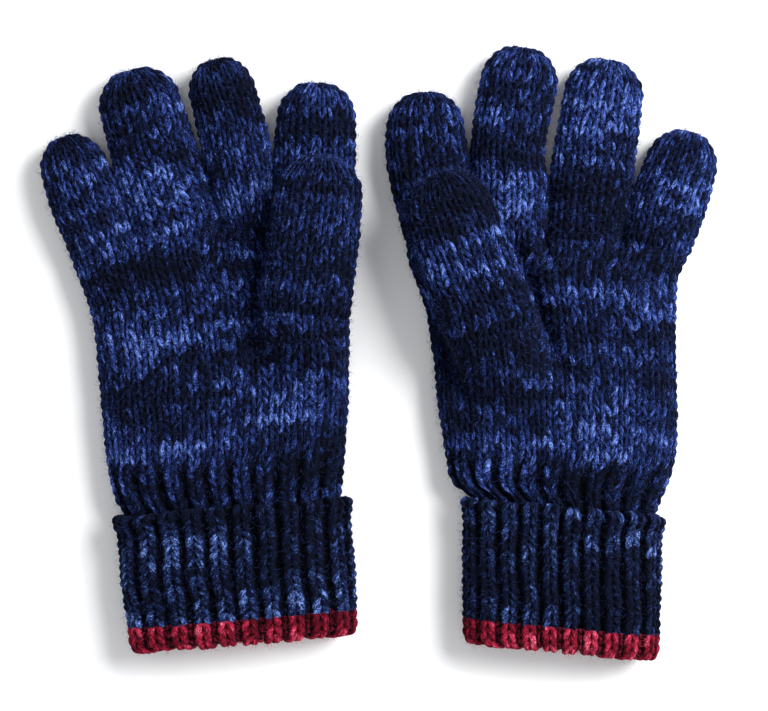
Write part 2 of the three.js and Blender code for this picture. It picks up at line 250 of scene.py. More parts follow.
# a ring's points in space: out along the line, then across and up by the ring's own shape;
# inset draws it in all round, and shrink closes it towards a tip
def ringsOn(line, distance, share, look, inset=0.0, shrink=1.0, flare=0.0):
    x, y, turn, half, height, low = onLine(line, distance)
    across, rise = ringPoint(
        share,
        np.maximum(half - inset + flare, 1e-5) * shrink,
        np.maximum(height - 2 * inset + 2 * flare, 1e-5) * np.asarray(shrink) ** 0.8,
        look.get("crown", 2.6),
        look.get("sole", 6.0),
    )
    return np.stack([x + across * np.cos(turn), y - across * np.sin(turn),
                     low + height / 2 + flare + rise], -1)


# unit vectors out of a grid of points that closes on itself round each ring
def outwards(points):
    along = np.gradient(points, axis=0)
    around = np.roll(points, -1, axis=1) - np.roll(points, 1, axis=1)
    normal = np.cross(around, along)
    length = np.linalg.norm(normal, axis=2, keepdims=True)
    return normal / np.maximum(length, 1e-12)


# steps that crowd towards the whole numbers, where the creases are
def crowded(count, steps, crowding):
    w = np.arange(count * steps + 1) / steps
    return w - crowding * np.sin(2 * np.pi * w)


# the shade of every stitch leg: the yarn runs round the tube row by row and its dye changes
# along it, so a noise of the distance along the yarn, with broad bands and single legs on top
def yarnShade(column, row, columns, seed):
    leg, line = np.floor(column * 2), np.floor(row)
    way = line * columns + column
    zero = np.zeros_like(way)
    run = valueNoise(way / 7.0, zero, seed)
    patch = valueNoise(column / 9.0, line / 3.2, seed + 1)
    small = valueNoise(way / 2.0, zero, seed + 2)
    single = valueNoise(leg * 1.0, line * 1.0, seed + 3)
    shade = 0.2 * run + 0.36 * patch + 0.14 * small + 0.3 * single
    return np.clip((shade - 0.5) * 2.1 + 0.43, 0, 1)


# makes the mesh of a closed shell from its rings. A shell either closes on itself from the
# last ring to the first, or ends in a point at each end. The faces after the rings that folds
# names are the cut ends of the fabric, flat so that they don't darken what they meet
def shellMesh(name, rings, columnAt, rowAt, relief, shade, poles, folds=()):
    count, around = rings.shape[:2]
    points = rings.reshape(-1, 3)
    index = np.arange(count * around).reshape(count, around)
    nextRing = index[1:] if poles else np.roll(index, -1, axis=0)
    thisRing = index[:-1] if poles else index
    quads = np.stack([thisRing, np.roll(thisRing, -1, 1), np.roll(nextRing, -1, 1), nextRing], -1)
    quads = quads.reshape(-1, 4)
    rows = np.broadcast_to(rowAt[:, None] if rowAt.ndim == 1 else rowAt, (count, around))
    last = rows[1:] if poles else np.roll(rows, -1, axis=0)
    first = rows[:-1] if poles else rows
    left = np.broadcast_to(columnAt[:-1], first.shape)
    right = np.broadcast_to(columnAt[1:], first.shape)
    uv = np.stack([np.stack([left, first], -1), np.stack([right, first], -1),
                   np.stack([right, last], -1), np.stack([left, last], -1)], 2).reshape(-1, 2)
    faces = [quads.ravel()]
    starts = [np.arange(len(quads)) * 4]
    totals = [np.full(len(quads), 4)]
    if poles:
        ends = np.array([rings[0].mean(0), rings[-1].mean(0)])
        points = np.vstack([points, ends])
        for ring, pole, order in ((index[0], len(points) - 2, 1), (index[-1], len(points) - 1, -1)):
            fan = np.stack([np.full(around, pole), np.roll(ring, -1), ring][::1], -1)
            fan = fan if order > 0 else fan[:, ::-1]
            faces.append(fan.ravel())
            starts.append(sum(f.size for f in faces[:-1]) + np.arange(around) * 3)
            totals.append(np.full(around, 3))
            level = rows[0] if order > 0 else rows[-1]
            flat = np.stack([np.broadcast_to(columnAt[:-1], (around,)), level], -1)
            uv = np.vstack([uv, np.repeat(flat, 3, axis=0)])
    corners = np.concatenate(faces)
    mesh = bpy.data.meshes.new(name)
    mesh.vertices.add(len(points))
    mesh.vertices.foreach_set("co", points.astype(np.float32).ravel())
    mesh.loops.add(len(corners))
    mesh.loops.foreach_set("vertex_index", corners.astype(np.int32))
    mesh.polygons.add(sum(len(t) for t in totals))
    mesh.polygons.foreach_set("loop_start", np.concatenate(starts).astype(np.int32))
    mesh.update(calc_edges=True)
    mesh.uv_layers.new(name="stitches").uv.foreach_set("vector", uv.astype(np.float32).ravel())
    # the relief of each point, from which the material paints shade into the creases
    height = np.zeros(len(points), np.float32)
    height[:relief.size] = relief.ravel()
    mesh.attributes.new("relief", "FLOAT", "POINT").data.foreach_set("value", height)
    tone = np.full(len(mesh.polygons), 0.3, np.float32)
    tone[:shade.size] = shade.ravel()
    mesh.attributes.new("shade", "FLOAT", "FACE").data.foreach_set("value", tone)
    smooth = np.ones(len(mesh.polygons), bool)
    for fold in folds:
        smooth[fold * around:(fold + 1) * around] = False
    mesh.polygons.foreach_set("use_smooth", smooth)
    mesh.update()
    return mesh


# six times the volume inside a mesh of quads and triangles, below zero if it is inside out
def turnedInside(mesh):
    mesh.calc_loop_triangles()
    points = np.empty(len(mesh.vertices) * 3)
    mesh.vertices.foreach_get("co", points)
    corners = np.empty(len(mesh.loop_triangles) * 3, int)
    mesh.loop_triangles.foreach_get("vertices", corners)
    a, b, c = points.reshape(-1, 3)[corners.reshape(-1, 3)].transpose(1, 0, 2)
    return (np.cross(a, b) * c).sum() < 0


def newPiece(name, mesh, material):
    if turnedInside(mesh):
        mesh.flip_normals()
    piece = bpy.data.objects.new(name, mesh)
    bpy.context.scene.collection.objects.link(piece)
    mesh.materials.append(material)
    return piece


# a rib's knit column takes more than half of the pair's width: how far a column is moved
def ribSqueeze(column):
    pair, share = column % 2, ribbing["knitShare"]
    return np.where(pair < 1, pair * 2 * share, 2 * share + (pair - 1) * 2 * (1 - share)) - pair


# depth of the furrow at a column: 0 on the knit columns, an S down and up across the purl ones
def furrowAt(column):
    return ribbing["furrow"] * ease(1 - np.abs((column % 2) - 1.5) * 2, -0.55, 0.6)


# loose fibres of the wool. Each is a thin tube of three sides along an arc that leaves along
# the surface's normal and bends sideways: out by the sine of its turn, across by one less the
# cosine, over the turn
fuzz = {
    "length": (1.2 * mm, 3.8 * mm),
    "radius": 0.05 * mm,
    "turn": (1.3, 2.6),         # how far it bends over, in radians
    "stations": 4,
    "spacing": 2.3 * mm,        # one fibre to each square of this side
    "clear": 3 * mm,            # none grow lower than this over the table
}


def fibresOn(name, surface, normal, seed, material):
    random = np.random.default_rng(seed)
    side = np.linalg.norm(np.diff(surface, axis=0), axis=-1).sum(0).mean()
    girth = np.linalg.norm(np.diff(surface, axis=1), axis=-1).sum(1).mean()
    count = int(side * girth / fuzz["spacing"] ** 2)
    ring, place = (random.integers(2, surface.shape[k] - 2, count) for k in (0, 1))
    high = surface[ring, place][:, 2] > fuzz["clear"]
    root, out = surface[ring, place][high], normal[ring, place][high]
    count = len(root)
    across = np.cross(out, random.normal(size=(count, 3)))
    across /= np.linalg.norm(across, axis=1, keepdims=True)
    sideways = np.cross(across, out)
    length = random.uniform(*fuzz["length"], (count, 1, 1))
    turn = random.uniform(*fuzz["turn"], (count, 1, 1))
    along = np.linspace(0, 1, fuzz["stations"])[None, :, None]
    out, across, sideways = out[:, None], across[:, None], sideways[:, None]
    arc = out * np.sin(turn * along) / turn + sideways * (1 - np.cos(turn * along)) / turn
    lean = sideways * np.cos(turn * along) - out * np.sin(turn * along)
    angle = (np.arange(3) * 2 * np.pi / 3)[None, None, :, None]
    thick = fuzz["radius"] * (1 - 0.7 * along)[..., None]
    spoke = (across[:, :, None] * np.cos(angle) + lean[:, :, None] * np.sin(angle)) * thick
    points = (root[:, None] + length * arc)[:, :, None] + spoke
    points[..., 2] = np.maximum(points[..., 2], 0.2 * mm)
    corner = np.arange(count * fuzz["stations"] * 3).reshape(count, fuzz["stations"], 3)
    low, high = corner[:, :-1], corner[:, 1:]
    quads = np.stack([low, np.roll(low, -1, 2), np.roll(high, -1, 2), high], -1).reshape(-1, 4)
    ends = np.vstack([corner[:, 0, ::-1], corner[:, -1]])
    mesh = bpy.data.meshes.new(name)
    mesh.from_pydata(points.reshape(-1, 3), [], quads.tolist() + ends.tolist())
    return newPiece(name, mesh, material)


# a tube of knitting along a line, from one distance to another, and the fibres on it. shape,
# if given, moves the plain surface before the stitches are raised on it. rib is 0 for
# stocking stitch and 1 for rib, or a function of the row. lip is how far the first rows curl
# out and tuck how far they go in, and ragged how unevenly that end lies
def knitTube(name, line, span, look, material, seed, tip=False, rib=0.0, shape=None,
             lip=0.0, tuck=0.0, ragged=0.0, rowStart=0, fibres=True):
    columns, rowHeight, relief = look["columns"], look["stitchHeight"], look["relief"]
    start, stop = span
    dome = look["dome"] if tip else 0
    plain = stop - start - dome
    domeRows = max(4, round(dome * knitting["bulge"] / rowHeight)) if tip else 0
    plainRows = max(2, round(plain / rowHeight))

    column = crowded(columns * 2, look["legSteps"], knitting["squeeze"]) / 2
    own = crowded(plainRows + domeRows, look["rowSteps"], 0.0)[:, None]
    own = own[:-1] if tip else own
    row, col = own + rowStart, column[None, :-1]
    ribAt = rib(row) if callable(rib) else np.full_like(row, rib)
    purl = ribAt * (np.floor(col) % 2 == 1)

    # distance along the line, and how far the tip has closed
    share = np.clip((own - plainRows) / max(domeRows, 1), 0, 1)
    level = np.minimum(own, plainRows)
    edge = valueNoise(col / 1.5, col * 0, seed + 14, round(columns / 1.5)) - 0.5
    distance = start + level * plain / plainRows + dome * np.sin(share * np.pi / 2)
    distance = distance + ragged * edge * np.exp(-own / 2.0)
    shrink = np.maximum(np.cos(share * np.pi / 2) ** 0.9, 0.02)
    curl = lip * (np.exp(-(own / 1.5) ** 2) - 1.5 * np.exp(-(own / 0.35) ** 2))
    curl = curl - tuck * (1 - ease(own, 0, 1.7))
    sway = (valueNoise(row / 4.0, col * 0 + 7.3, seed + 5) - 0.5) * knitting["sway"]
    drift = valueNoise(col * 1.0, row / 2.5, seed + 12, columns) - 0.5
    drift = drift * (knitting["drift"] - 0.1 * ribAt)
    around = (col + ribSqueeze(col) * ribAt + sway + drift) / columns
    base = ringsOn(line, distance, around, look, relief, shrink, curl)
    if shape:
        base = shape(base, line, distance, 0)
    normal = outwards(base)
    if np.mean(np.sum(normal * (base - base.mean(1, keepdims=True)), -1)) < 0:
        normal = -normal

    # the stitches, each a little plumper or thinner than the next
    shift = (valueNoise(col, row / 1.3, seed + 16, columns) - 0.5) * knitting["shift"]
    legs, owner = legsAt(col, row + shift, look)
    height = legs * (1 - purl) + 0.6 * barHeight(col, row) * purl
    plump = 0.8 + knitting["plumpness"] * valueNoise(np.floor(col * 2), owner, seed + 21)
    wander = valueNoise(col / 4.0, row / 4.0, seed + 31, columns // 4) - 0.5
    wander = knitting["unevenness"] * wander
    fade = ease(shrink, 0.02, 0.4)
    raised = (height * relief * plump - furrowAt(col) * ribAt) * fade + wander
    outer = base + normal * raised[..., None]
    outer[..., 2] = np.maximum(outer[..., 2], 0)

    # the smooth inner side of the same tube
    wall = look["wall"]
    if tip:
        turn = np.linspace(0, np.pi / 2, 6)[:-1]
        inDome = stop - dome + (dome - wall) * np.sin(turn)
        inDistance = np.r_[np.linspace(start, stop - dome, 4)[:-1], inDome]
        inShrink = np.r_[np.ones(3), np.cos(turn) ** 0.85]
    else:
        inRings = plainRows + 1 if shape else 5
        inDistance, inShrink = np.linspace(start, stop, inRings), np.ones(inRings)
    inDistance = inDistance[:, None]
    openEnd = (lip * 0.5 - tuck) * np.exp(-((inDistance - start) / (4 * mm)) ** 2)
    inAround = (col + ribSqueeze(col) * ribAt[:1]) / columns + inDistance * 0
    inner = ringsOn(line, inDistance, inAround, look, relief + wall, inShrink[:, None], openEnd)
    if shape:
        inner = shape(inner, line, inDistance, wall)
    inner[..., 2] = np.maximum(inner[..., 2], wall * 0.5)
    inner = inner[::-1]
    innerRows = rowStart + (inDistance[::-1, 0] - start) / rowHeight

    # outside and inside joined into one closed shell
    shade = yarnShade(col + 0 * row, owner, columns, seed)
    flat = np.zeros(inner.shape[:2])
    order = (lambda a, b: [b, a]) if tip else (lambda a, b: [a, b])
    rings = np.concatenate(order(outer, inner))
    rowAt = np.concatenate(order(row[:, 0], innerRows))
    # how high each point stands, which the material turns into painted shade; purl columns count as lower
    # and the inside as a crease, so they are painted darker
    lift = np.concatenate(order(np.clip(height * (1 - 0.8 * purl), 0, 1), flat))
    tone = np.concatenate(order(shade, flat + 0.3))
    folds = (len(inner) - 1,) if tip else (len(outer) - 1, len(rings) - 1)
    mesh = shellMesh(name, rings, column, rowAt, lift, tone[:-1] if tip else tone, tip, folds)
    pieces = [newPiece(name, mesh, material)]
    if fibres:
        pieces.append(fibresOn(name.replace("_knit", "_fuzz"), outer, normal, seed + 41, looseWool))
    return pieces


def rgb(red, green, blue):
    value = np.array([red, green, blue]) / 255
    linear = np.where(value <= 0.04045, value / 12.92, ((value + 0.055) / 1.055) ** 2.4)
    return (*linear, 1)


marlYarn = {
    "dark": rgb(3, 6, 20),
    "middle": rgb(18, 28, 64),
    "bright": rgb(44, 68, 146),
    "fleck": rgb(118, 144, 216),
    "fuzz": 0.03,
    "roughness": 0.9,
    "legWidth": knitting["stitchWidth"] / 2,
    "legHeight": knitting["stitchHeight"],
}

ribYarn = {
    **marlYarn,
    "bright": rgb(50, 72, 128),
    "legWidth": ribbing["stitchWidth"] / 2,
    "legHeight": ribbing["stitchHeight"],
}

redYarn = {
    **ribYarn,
    "dark": rgb(72, 6, 22),
    "middle": rgb(138, 20, 46),
    "bright": rgb(184, 48, 78),
    "fleck": rgb(226, 116, 140),
}

# how the yarn's streaks and specks are laid, in metres
spinning = {
    "streak": (0.6 * mm, 2.4 * mm),     # across the leg, and along it
    "speck": (0.3 * mm, 0.7 * mm),
    "lean": 0.32,                       # radians that a leg leans out from its column
    # painted shade for the creases: the darkest it gets, and the relief over which it fades out
    "paintedCreaseShade": 0.02,
    "paintedShadeRelief": (0.12, 0.85),       # relief where the crease's shade starts and ends
    "bump": 0.3 * mm,
}


# spun yarn: the shade of each leg, broken up by streaks that run along it, picks a colour
# between dark and bright; the brightest streaks are flecks; painted shade darkens the creases
# where the relief is low; fine fibres make the bump
def yarnMaterial(name, yarn):
    material = bpy.data.materials.new(name)
    material.use_nodes = True
    nodes, links = material.node_tree.nodes, material.node_tree.links
    shader = nodes["Principled BSDF"]

    def add(kind, **settings):
        node = nodes.new(kind)
        for key, value in settings.items():
            setattr(node, key, value)
        return node

    def maths(operation, a, b, clamp=False):
        node = add("ShaderNodeMath", operation=operation, use_clamp=clamp)
        for socket, value in zip(node.inputs, (a, b)):
            if isinstance(value, (int, float)):
                socket.default_value = value
            else:
                links.new(value, socket)
        return node.outputs[0]

    # a place on the leg in metres, the same way round on both sides of a stitch, with the
    # leg's own number as its third value
    grid = add("ShaderNodeSeparateXYZ")
    links.new(add("ShaderNodeUVMap", uv_map="stitches").outputs[0], grid.inputs[0])
    legs = maths("MULTIPLY", grid.outputs[0], 2.0)
    outwardPart = maths("ABSOLUTE", maths("SUBTRACT", maths("FRACT", grid.outputs[0], 0), 0.5), 0)
    placeOnLeg = add("ShaderNodeCombineXYZ")
    links.new(maths("MULTIPLY", outwardPart, 2 * yarn["legWidth"]), placeOnLeg.inputs[0])
    links.new(maths("MULTIPLY", grid.outputs[1], yarn["legHeight"]), placeOnLeg.inputs[1])
    links.new(maths("MULTIPLY", maths("FLOOR", legs, 0), 7.3), placeOnLeg.inputs[2])
    upright = add("ShaderNodeMapping")
    upright.inputs["Rotation"].default_value = (0, 0, spinning["lean"])
    links.new(placeOnLeg.outputs[0], upright.inputs["Vector"])

    def streaks(size, detail, seed):
        mapping = add("ShaderNodeMapping")
        mapping.inputs["Scale"].default_value = (1 / size[0], 1 / size[1], 1)
        mapping.inputs["Location"].default_value = (seed, seed * 1.7, seed)
        links.new(upright.outputs[0], mapping.inputs["Vector"])
        noise = add("ShaderNodeTexNoise", noise_dimensions="3D")
        noise.inputs["Scale"].default_value = 1
        noise.inputs["Detail"].default_value = detail
        noise.inputs["Roughness"].default_value = 0.6
        links.new(mapping.outputs[0], noise.inputs["Vector"])
        return noise.outputs["Fac"]

    ply = streaks(spinning["streak"], 3, 3.1)
    fibre = streaks(spinning["speck"], 2, 9.4)
    shade = add("ShaderNodeAttribute", attribute_name="shade").outputs["Fac"]
    relief = add("ShaderNodeAttribute", attribute_name="relief").outputs["Fac"]
    ply, fibre = (maths("SUBTRACT", noise, 0.5) for noise in (ply, fibre))
    mixed = maths("ADD", maths("MULTIPLY", shade, 0.72), maths("MULTIPLY", ply, 1.5))
    mixed = maths("ADD", mixed, maths("MULTIPLY", fibre, 1.7), clamp=True)
    ramp = add("ShaderNodeValToRGB")
    ramp.color_ramp.elements[0].position = 0.14
    ramp.color_ramp.elements[0].color = yarn["dark"]
    ramp.color_ramp.elements[1].position = 0.97
    ramp.color_ramp.elements[1].color = yarn["fleck"]
    for position, key in ((0.42, "middle"), (0.72, "bright")):
        ramp.color_ramp.elements.new(position).color = yarn[key]
    links.new(mixed, ramp.inputs[0])
    # painted shade: the colour is multiplied darker where the relief is low, in the creases between legs,
    # in the furrows of the ribs and on the inside of the tube
    crease = add("ShaderNodeMapRange")
    crease.inputs["To Min"].default_value = spinning["paintedCreaseShade"]
    links.new(relief, crease.inputs["Value"])
    for end, level in zip(("From Min", "From Max"), spinning["paintedShadeRelief"]):
        crease.inputs[end].default_value = level
    darker = add("ShaderNodeMix", data_type="RGBA", blend_type="MULTIPLY")
    darker.inputs["Factor"].default_value = 1
    links.new(ramp.outputs[0], darker.inputs["A"])
    links.new(crease.outputs[0], darker.inputs["B"])
    links.new(darker.outputs["Result"], shader.inputs["Base Color"])
    bump = add("ShaderNodeBump")
    bump.inputs["Distance"].default_value = spinning["bump"]
    links.new(maths("ADD", fibre, ply), bump.inputs["Height"])
    links.new(bump.outputs[0], shader.inputs["Normal"])
    shader.inputs["Roughness"].default_value = yarn["roughness"]
    shader.inputs["Specular IOR Level"].default_value = 0.06
    shader.inputs["Sheen Weight"].default_value = yarn["fuzz"]
    shader.inputs["Sheen Roughness"].default_value = 0.6
    shader.inputs["Sheen Tint"].default_value = yarn["fleck"]
    return material


blueMarl = yarnMaterial("blueMarl", marlYarn)
cuffMarl = yarnMaterial("cuffMarl", ribYarn)
redWool = yarnMaterial("redWool", redYarn)


# a plain fabric of one colour, with fine ridges for its threads if it has a pitch
def plainMaterial(name, colour, roughness, metallic=0.0, pitch=0.0):
    material = bpy.data.materials.new(name)
    material.use_nodes = True
    nodes, links = material.node_tree.nodes, material.node_tree.links
    shader = nodes["Principled BSDF"]
    shader.inputs["Base Color"].default_value = colour
    shader.inputs["Roughness"].default_value = roughness
    shader.inputs["Metallic"].default_value = metallic
    shader.inputs["Specular IOR Level"].default_value = 0.2
    if pitch:
        wave, bump = nodes.new("ShaderNodeTexWave"), nodes.new("ShaderNodeBump")
        wave.inputs["Scale"].default_value = 0.3 / pitch
        wave.inputs["Distortion"].default_value = 1.5
        bump.inputs["Distance"].default_value = pitch / 3
        links.new(nodes.new("ShaderNodeTexCoord").outputs["Object"], wave.inputs["Vector"])
        links.new(wave.outputs["Fac"], bump.inputs["Height"])
        links.new(bump.outputs[0], shader.inputs["Normal"])
    return material


looseWool = plainMaterial("looseWool", rgb(44, 60, 116), 0.9)
looseRed = plainMaterial("looseRed", rgb(176, 44, 74), 0.9)
conductive = plainMaterial("conductive", rgb(96, 98, 104), 0.45, metallic=0.5, pitch=0.9 * mm)
paleFloor = plainMaterial("paleFloor", (0.93, 0.93, 0.93, 1), 0.9)
print("materials made")



# crown and sole are the powers of the curves that round the top and the underside
fingerLook = {
    **knitting,
    "columns": 16,
    "crown": 2.3,
    "sole": 4.5,
    "dome": 13 * mm,                            # length of the rounded tip
    "plump": (0.9 * mm, 1.1 * mm, 0.5 * mm, 0),  # half widths added, from the root to the tip
    "tuck": 2.2 * mm,
}

thumbLook = {
    **fingerLook,
    "columns": 18,
    "dome": 14 * mm,
    "plump": (0, 0, 0, 0),
    "sink": 3.5 * mm,                           # how far its foot lies under the palm's surface
}

palmLook = {
    **knitting,
    "legSteps": 5,
    "rowSteps": 6,
    "columns": 44,
    "crown": 3.4,
    "sole": 8.0,
    "ribbedRows": 5.5,
    "webDepth": 1.5 * mm,
    "blendLength": 17 * mm,     # over this it turns into the outline of four fingers
    "overlap": 11 * mm,         # how far the fingers reach in under it
    "dip": 2.6 * mm,            # how far its last rows sink into the fingers
    "dipLength": 8 * mm,
    "intoCuff": 4 * mm,
    "fold": 4.5 * mm,           # depth of the fold in the palm along each side of the thumb
}

cuffLook = {
    **ribbing,
    "columns": 44,
    "crown": 3.6,
    "sole": 8.0,
    "relief": 1.4 * mm,
    "legSteps": 5,
    "rowSteps": 6,
    "lip": 1.6 * mm,
    "ragged": 1.6 * mm,
}

wristLook = {**cuffLook, "legSteps": 3, "rowSteps": 4}

fingers = ("little", "ring", "middle", "index")
seeds = {"right": 101, "left": 202}    # where each glove's random numbers start


# the line of a finger or thumb: through its root, its middle joint and its tip
def fingerLine(glove, finger, look):
    base, end = f"{glove}_{finger}_base", f"{glove}_{finger}_end"
    joint = jointOf(f"{glove}_{finger}_bend")[0]
    near, far = turnOf(joint - middleOf(base)), turnOf(middleOf(end) - joint)
    back = reachOf(base, joint, near)[0]
    front = reachOf(end, joint, far)[1]
    root = joint + headingOf(near) * back
    stations = [
        stationAt(base, root + headingOf(near) * 1 * mm, near),
        stationAt(base, root - headingOf(near) * back / 2, near),
        stationAt(end, joint + headingOf(far) * 1 * mm, far),
        stationAt(end, joint + headingOf(far) * (front - look["dome"] - 1 * mm), far),
    ]
    for station, plump in zip(stations, look["plump"]):
        station[3] += plump
    foot = stations[0].copy()
    foot[:2] -= headingOf(near) * palmLook["overlap"]
    foot[5] -= look.get("sink", 0)
    tip = stations[-1].copy()
    tip[:2] = joint + headingOf(far) * front
    tip[3] *= 0.97
    line = lineThrough([foot, *stations, tip])
    rootAt = palmLook["overlap"]
    jointAt = rootAt - back
    return {"line": line, "root": root, "near": near, "far": far, "joint": joint,
            "rootAt": rootAt, "jointAt": jointAt, "station": stations[0]}


# the first of the pieces stands for the CAD node, and the fibres on it go where it goes
def atRest(pieces, body, node):
    for piece in pieces:
        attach(piece, body)
    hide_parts(node)


def bending(pieces, node):
    for piece in pieces:
        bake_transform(piece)
    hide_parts(node)


# a digit in two pieces that meet halfway along its base, each reaching across one joint
def makeFinger(glove, finger, look, seed):
    digit = fingerLine(glove, finger, look)
    line = digit["line"]
    rows = round((digit["rootAt"] + digit["jointAt"]) / 2 / look["stitchHeight"])
    meet = rows * look["stitchHeight"]
    baseNode, endNode = f"{glove}_{finger}_base", f"{glove}_{finger}_end"
    base = knitTube(baseNode + "_knit", line, (0, meet), look, blueMarl, seed, tuck=look["tuck"])
    end = knitTube(endNode + "_knit", line, (meet, line["length"]), look, blueMarl, seed, tip=True,
                   rowStart=rows)
    hand = f"{glove}_hand"
    own, tip = (frame["nodes"][node]["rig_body"] for node in (baseNode, endNode))
    if own == hand:
        atRest(base, hand, baseNode)
    else:
        bending(base, baseNode)
    bending(end, endNode)
    return digit


# the palm's own line, from the wrist to just below the knuckles
def palmLine(glove, digits):
    hand = f"{glove}_hand"
    wrist, hinge = jointOf(f"{glove}_wrist_bend")
    wristTurn = np.arctan2(hinge[1], -hinge[0])
    little, index = digits["little"]["root"], digits["index"]["root"]
    knuckles = (little + index) / 2
    rise = index - little if index[0] > little[0] else little - index
    webTurn = np.arctan2(-rise[1], rise[0])
    web = knuckles - headingOf(webTurn) * palmLook["webDepth"]
    stations = []
    for share in (0.015, 0.07, 0.16, 0.3, 0.5, 0.7, 0.84, 0.93):
        turn = wristTurn + (webTurn - wristTurn) * share
        stations.append(stationAt(hand, wrist + (web - wrist) * share, turn))
    tallest = stations[2][4]
    for station in stations:
        station[4] = min(station[4], tallest)
    last = stations[-1].copy()
    last[:2] += (web - wrist) * 0.07
    last[4] = digits["little"]["station"][4]
    edges = [digits[f]["station"] for f in ("little", "index")]
    last[3] = (np.linalg.norm(edges[0][:2] - edges[1][:2]) + edges[0][3] + edges[1][3]) / 2
    return lineThrough([*stations, last])


# where the underside of the thumb lies, at distances behind its root
thumbClimb = np.array([-46, -34, -20, -8, 0]) * mm, np.array([-6, 5, 13.5, 18.2, 19.2]) * mm


# the plain palm is given its form in two steps. Near the knuckles its top and underside
# turn into the outline of the fingers side by side, the highest of their power curves at
# each place. At the thumb it rises into the thumb's climb, by a smooth maximum of the two,
# and sinks beside it into a fold shaped as a bell curve of the distance across.
def palmShape(glove, line, digits, thumb):
    roots = [digits[finger] for finger in fingers]

    def shape(points, own, distance, sunk):
        x, y, z = points[..., 0], points[..., 1], points[..., 2]
        toEnd = np.broadcast_to(own["length"] - distance, x.shape)
        blend = ease(-toEnd, -palmLook["blendLength"], -1 * mm)
        middle = roots[0]["station"][5] + roots[0]["station"][4] / 2
        crest, keel = np.zeros_like(z), np.zeros_like(z)
        for digit in roots:
            station = digit["station"]
            side = np.stack([x, y], -1) - station[:2]
            half = station[3] - knitting["relief"] * 0.4
            part = np.clip(np.abs(side @ acrossOf(digit["near"])) / half, 0, 1)
            crest = np.maximum(crest, (1 - part ** fingerLook["crown"]) ** 0.5)
            keel = np.maximum(keel, (1 - part ** fingerLook["sole"]) ** 0.5)
        tall = roots[0]["station"][4] / 2 - knitting["relief"]
        share = np.clip(np.abs(z - middle) / tall, 0, 1)
        formed = np.where(z > middle, middle + share * tall * crest, middle - share * tall * keel)
        dip = palmLook["dip"] * ease(-toEnd, -palmLook["dipLength"], 0)
        z = z + (formed - z) * blend - np.where(z > middle, dip, -dip)

        station = thumb["station"]
        side = np.stack([x, y], -1) - thumb["root"]
        ahead = side @ headingOf(thumb["near"])
        beside = np.abs(side @ acrossOf(thumb["near"])) / (station[3] - 0.3 * mm)
        part = np.clip(beside, 0, 1)
        top = np.interp(ahead, *thumbClimb)
        hump = top + (station[4] - 2 * knitting["relief"]) * (1 - part ** thumbLook["crown"]) ** 0.5 * 0.92
        hump = np.where(part < 1, hump - sunk, -20 * mm)
        hump = hump - palmLook["dip"] * ease(ahead, -palmLook["dipLength"], 0)
        hump = hump - 40 * mm * ease(ahead, 0, 6 * mm)
        soft = 1.6 * mm
        raised = 0.5 * (z + hump + np.sqrt((z - hump) ** 2 + soft ** 2))
        upper = ease(z, middle, middle + 0.3 * tall)
        fold = palmLook["fold"] * np.exp(-((beside - 1.15) / 0.17) ** 2)
        fold = fold * ease(ahead, -38 * mm, -14 * mm) * (1 - ease(ahead, 22 * mm, 36 * mm))
        z = z + (np.maximum(raised, z) - z - fold) * upper
        return np.stack([x, y, z], -1)

    return shape


def cuffLine(glove):
    wrist, hinge = jointOf(f"{glove}_wrist_bend")
    hem = f"{glove}_red_hem"
    down = turnOf(middleOf(hem) - wrist)
    turn = np.arctan2(hinge[1], -hinge[0]) + np.pi
    far = reachOf(hem, wrist, turn)[1]
    way = headingOf(down)
    place = lambda distance: wrist + way * distance
    cuff = f"{glove}_turned_cuff"
    stations = [stationAt(cuff, place(d), turn) for d in (0.24 * far, 0.5 * far, 0.78 * far)]
    first, last = stations[0].copy(), stations[-1].copy()
    first[:2] = place(0)
    last[:2] += way * (far * 1.0 - 0.78 * far)
    last[3] -= 0.3 * mm
    line = lineThrough([first, *stations, last])
    return {"line": line, "down": down, "wrist": wrist}


hemLook = {
    **cuffLook,
    "thick": 6.2 * mm,          # of the folded edge
    "tall": 9.2 * mm,           # of the band from the cuff down
    "rows": 6,                  # from the front, round the fold and up the back
    "overCuff": 0.6 * mm,       # how far the cuff reaches in behind it
}


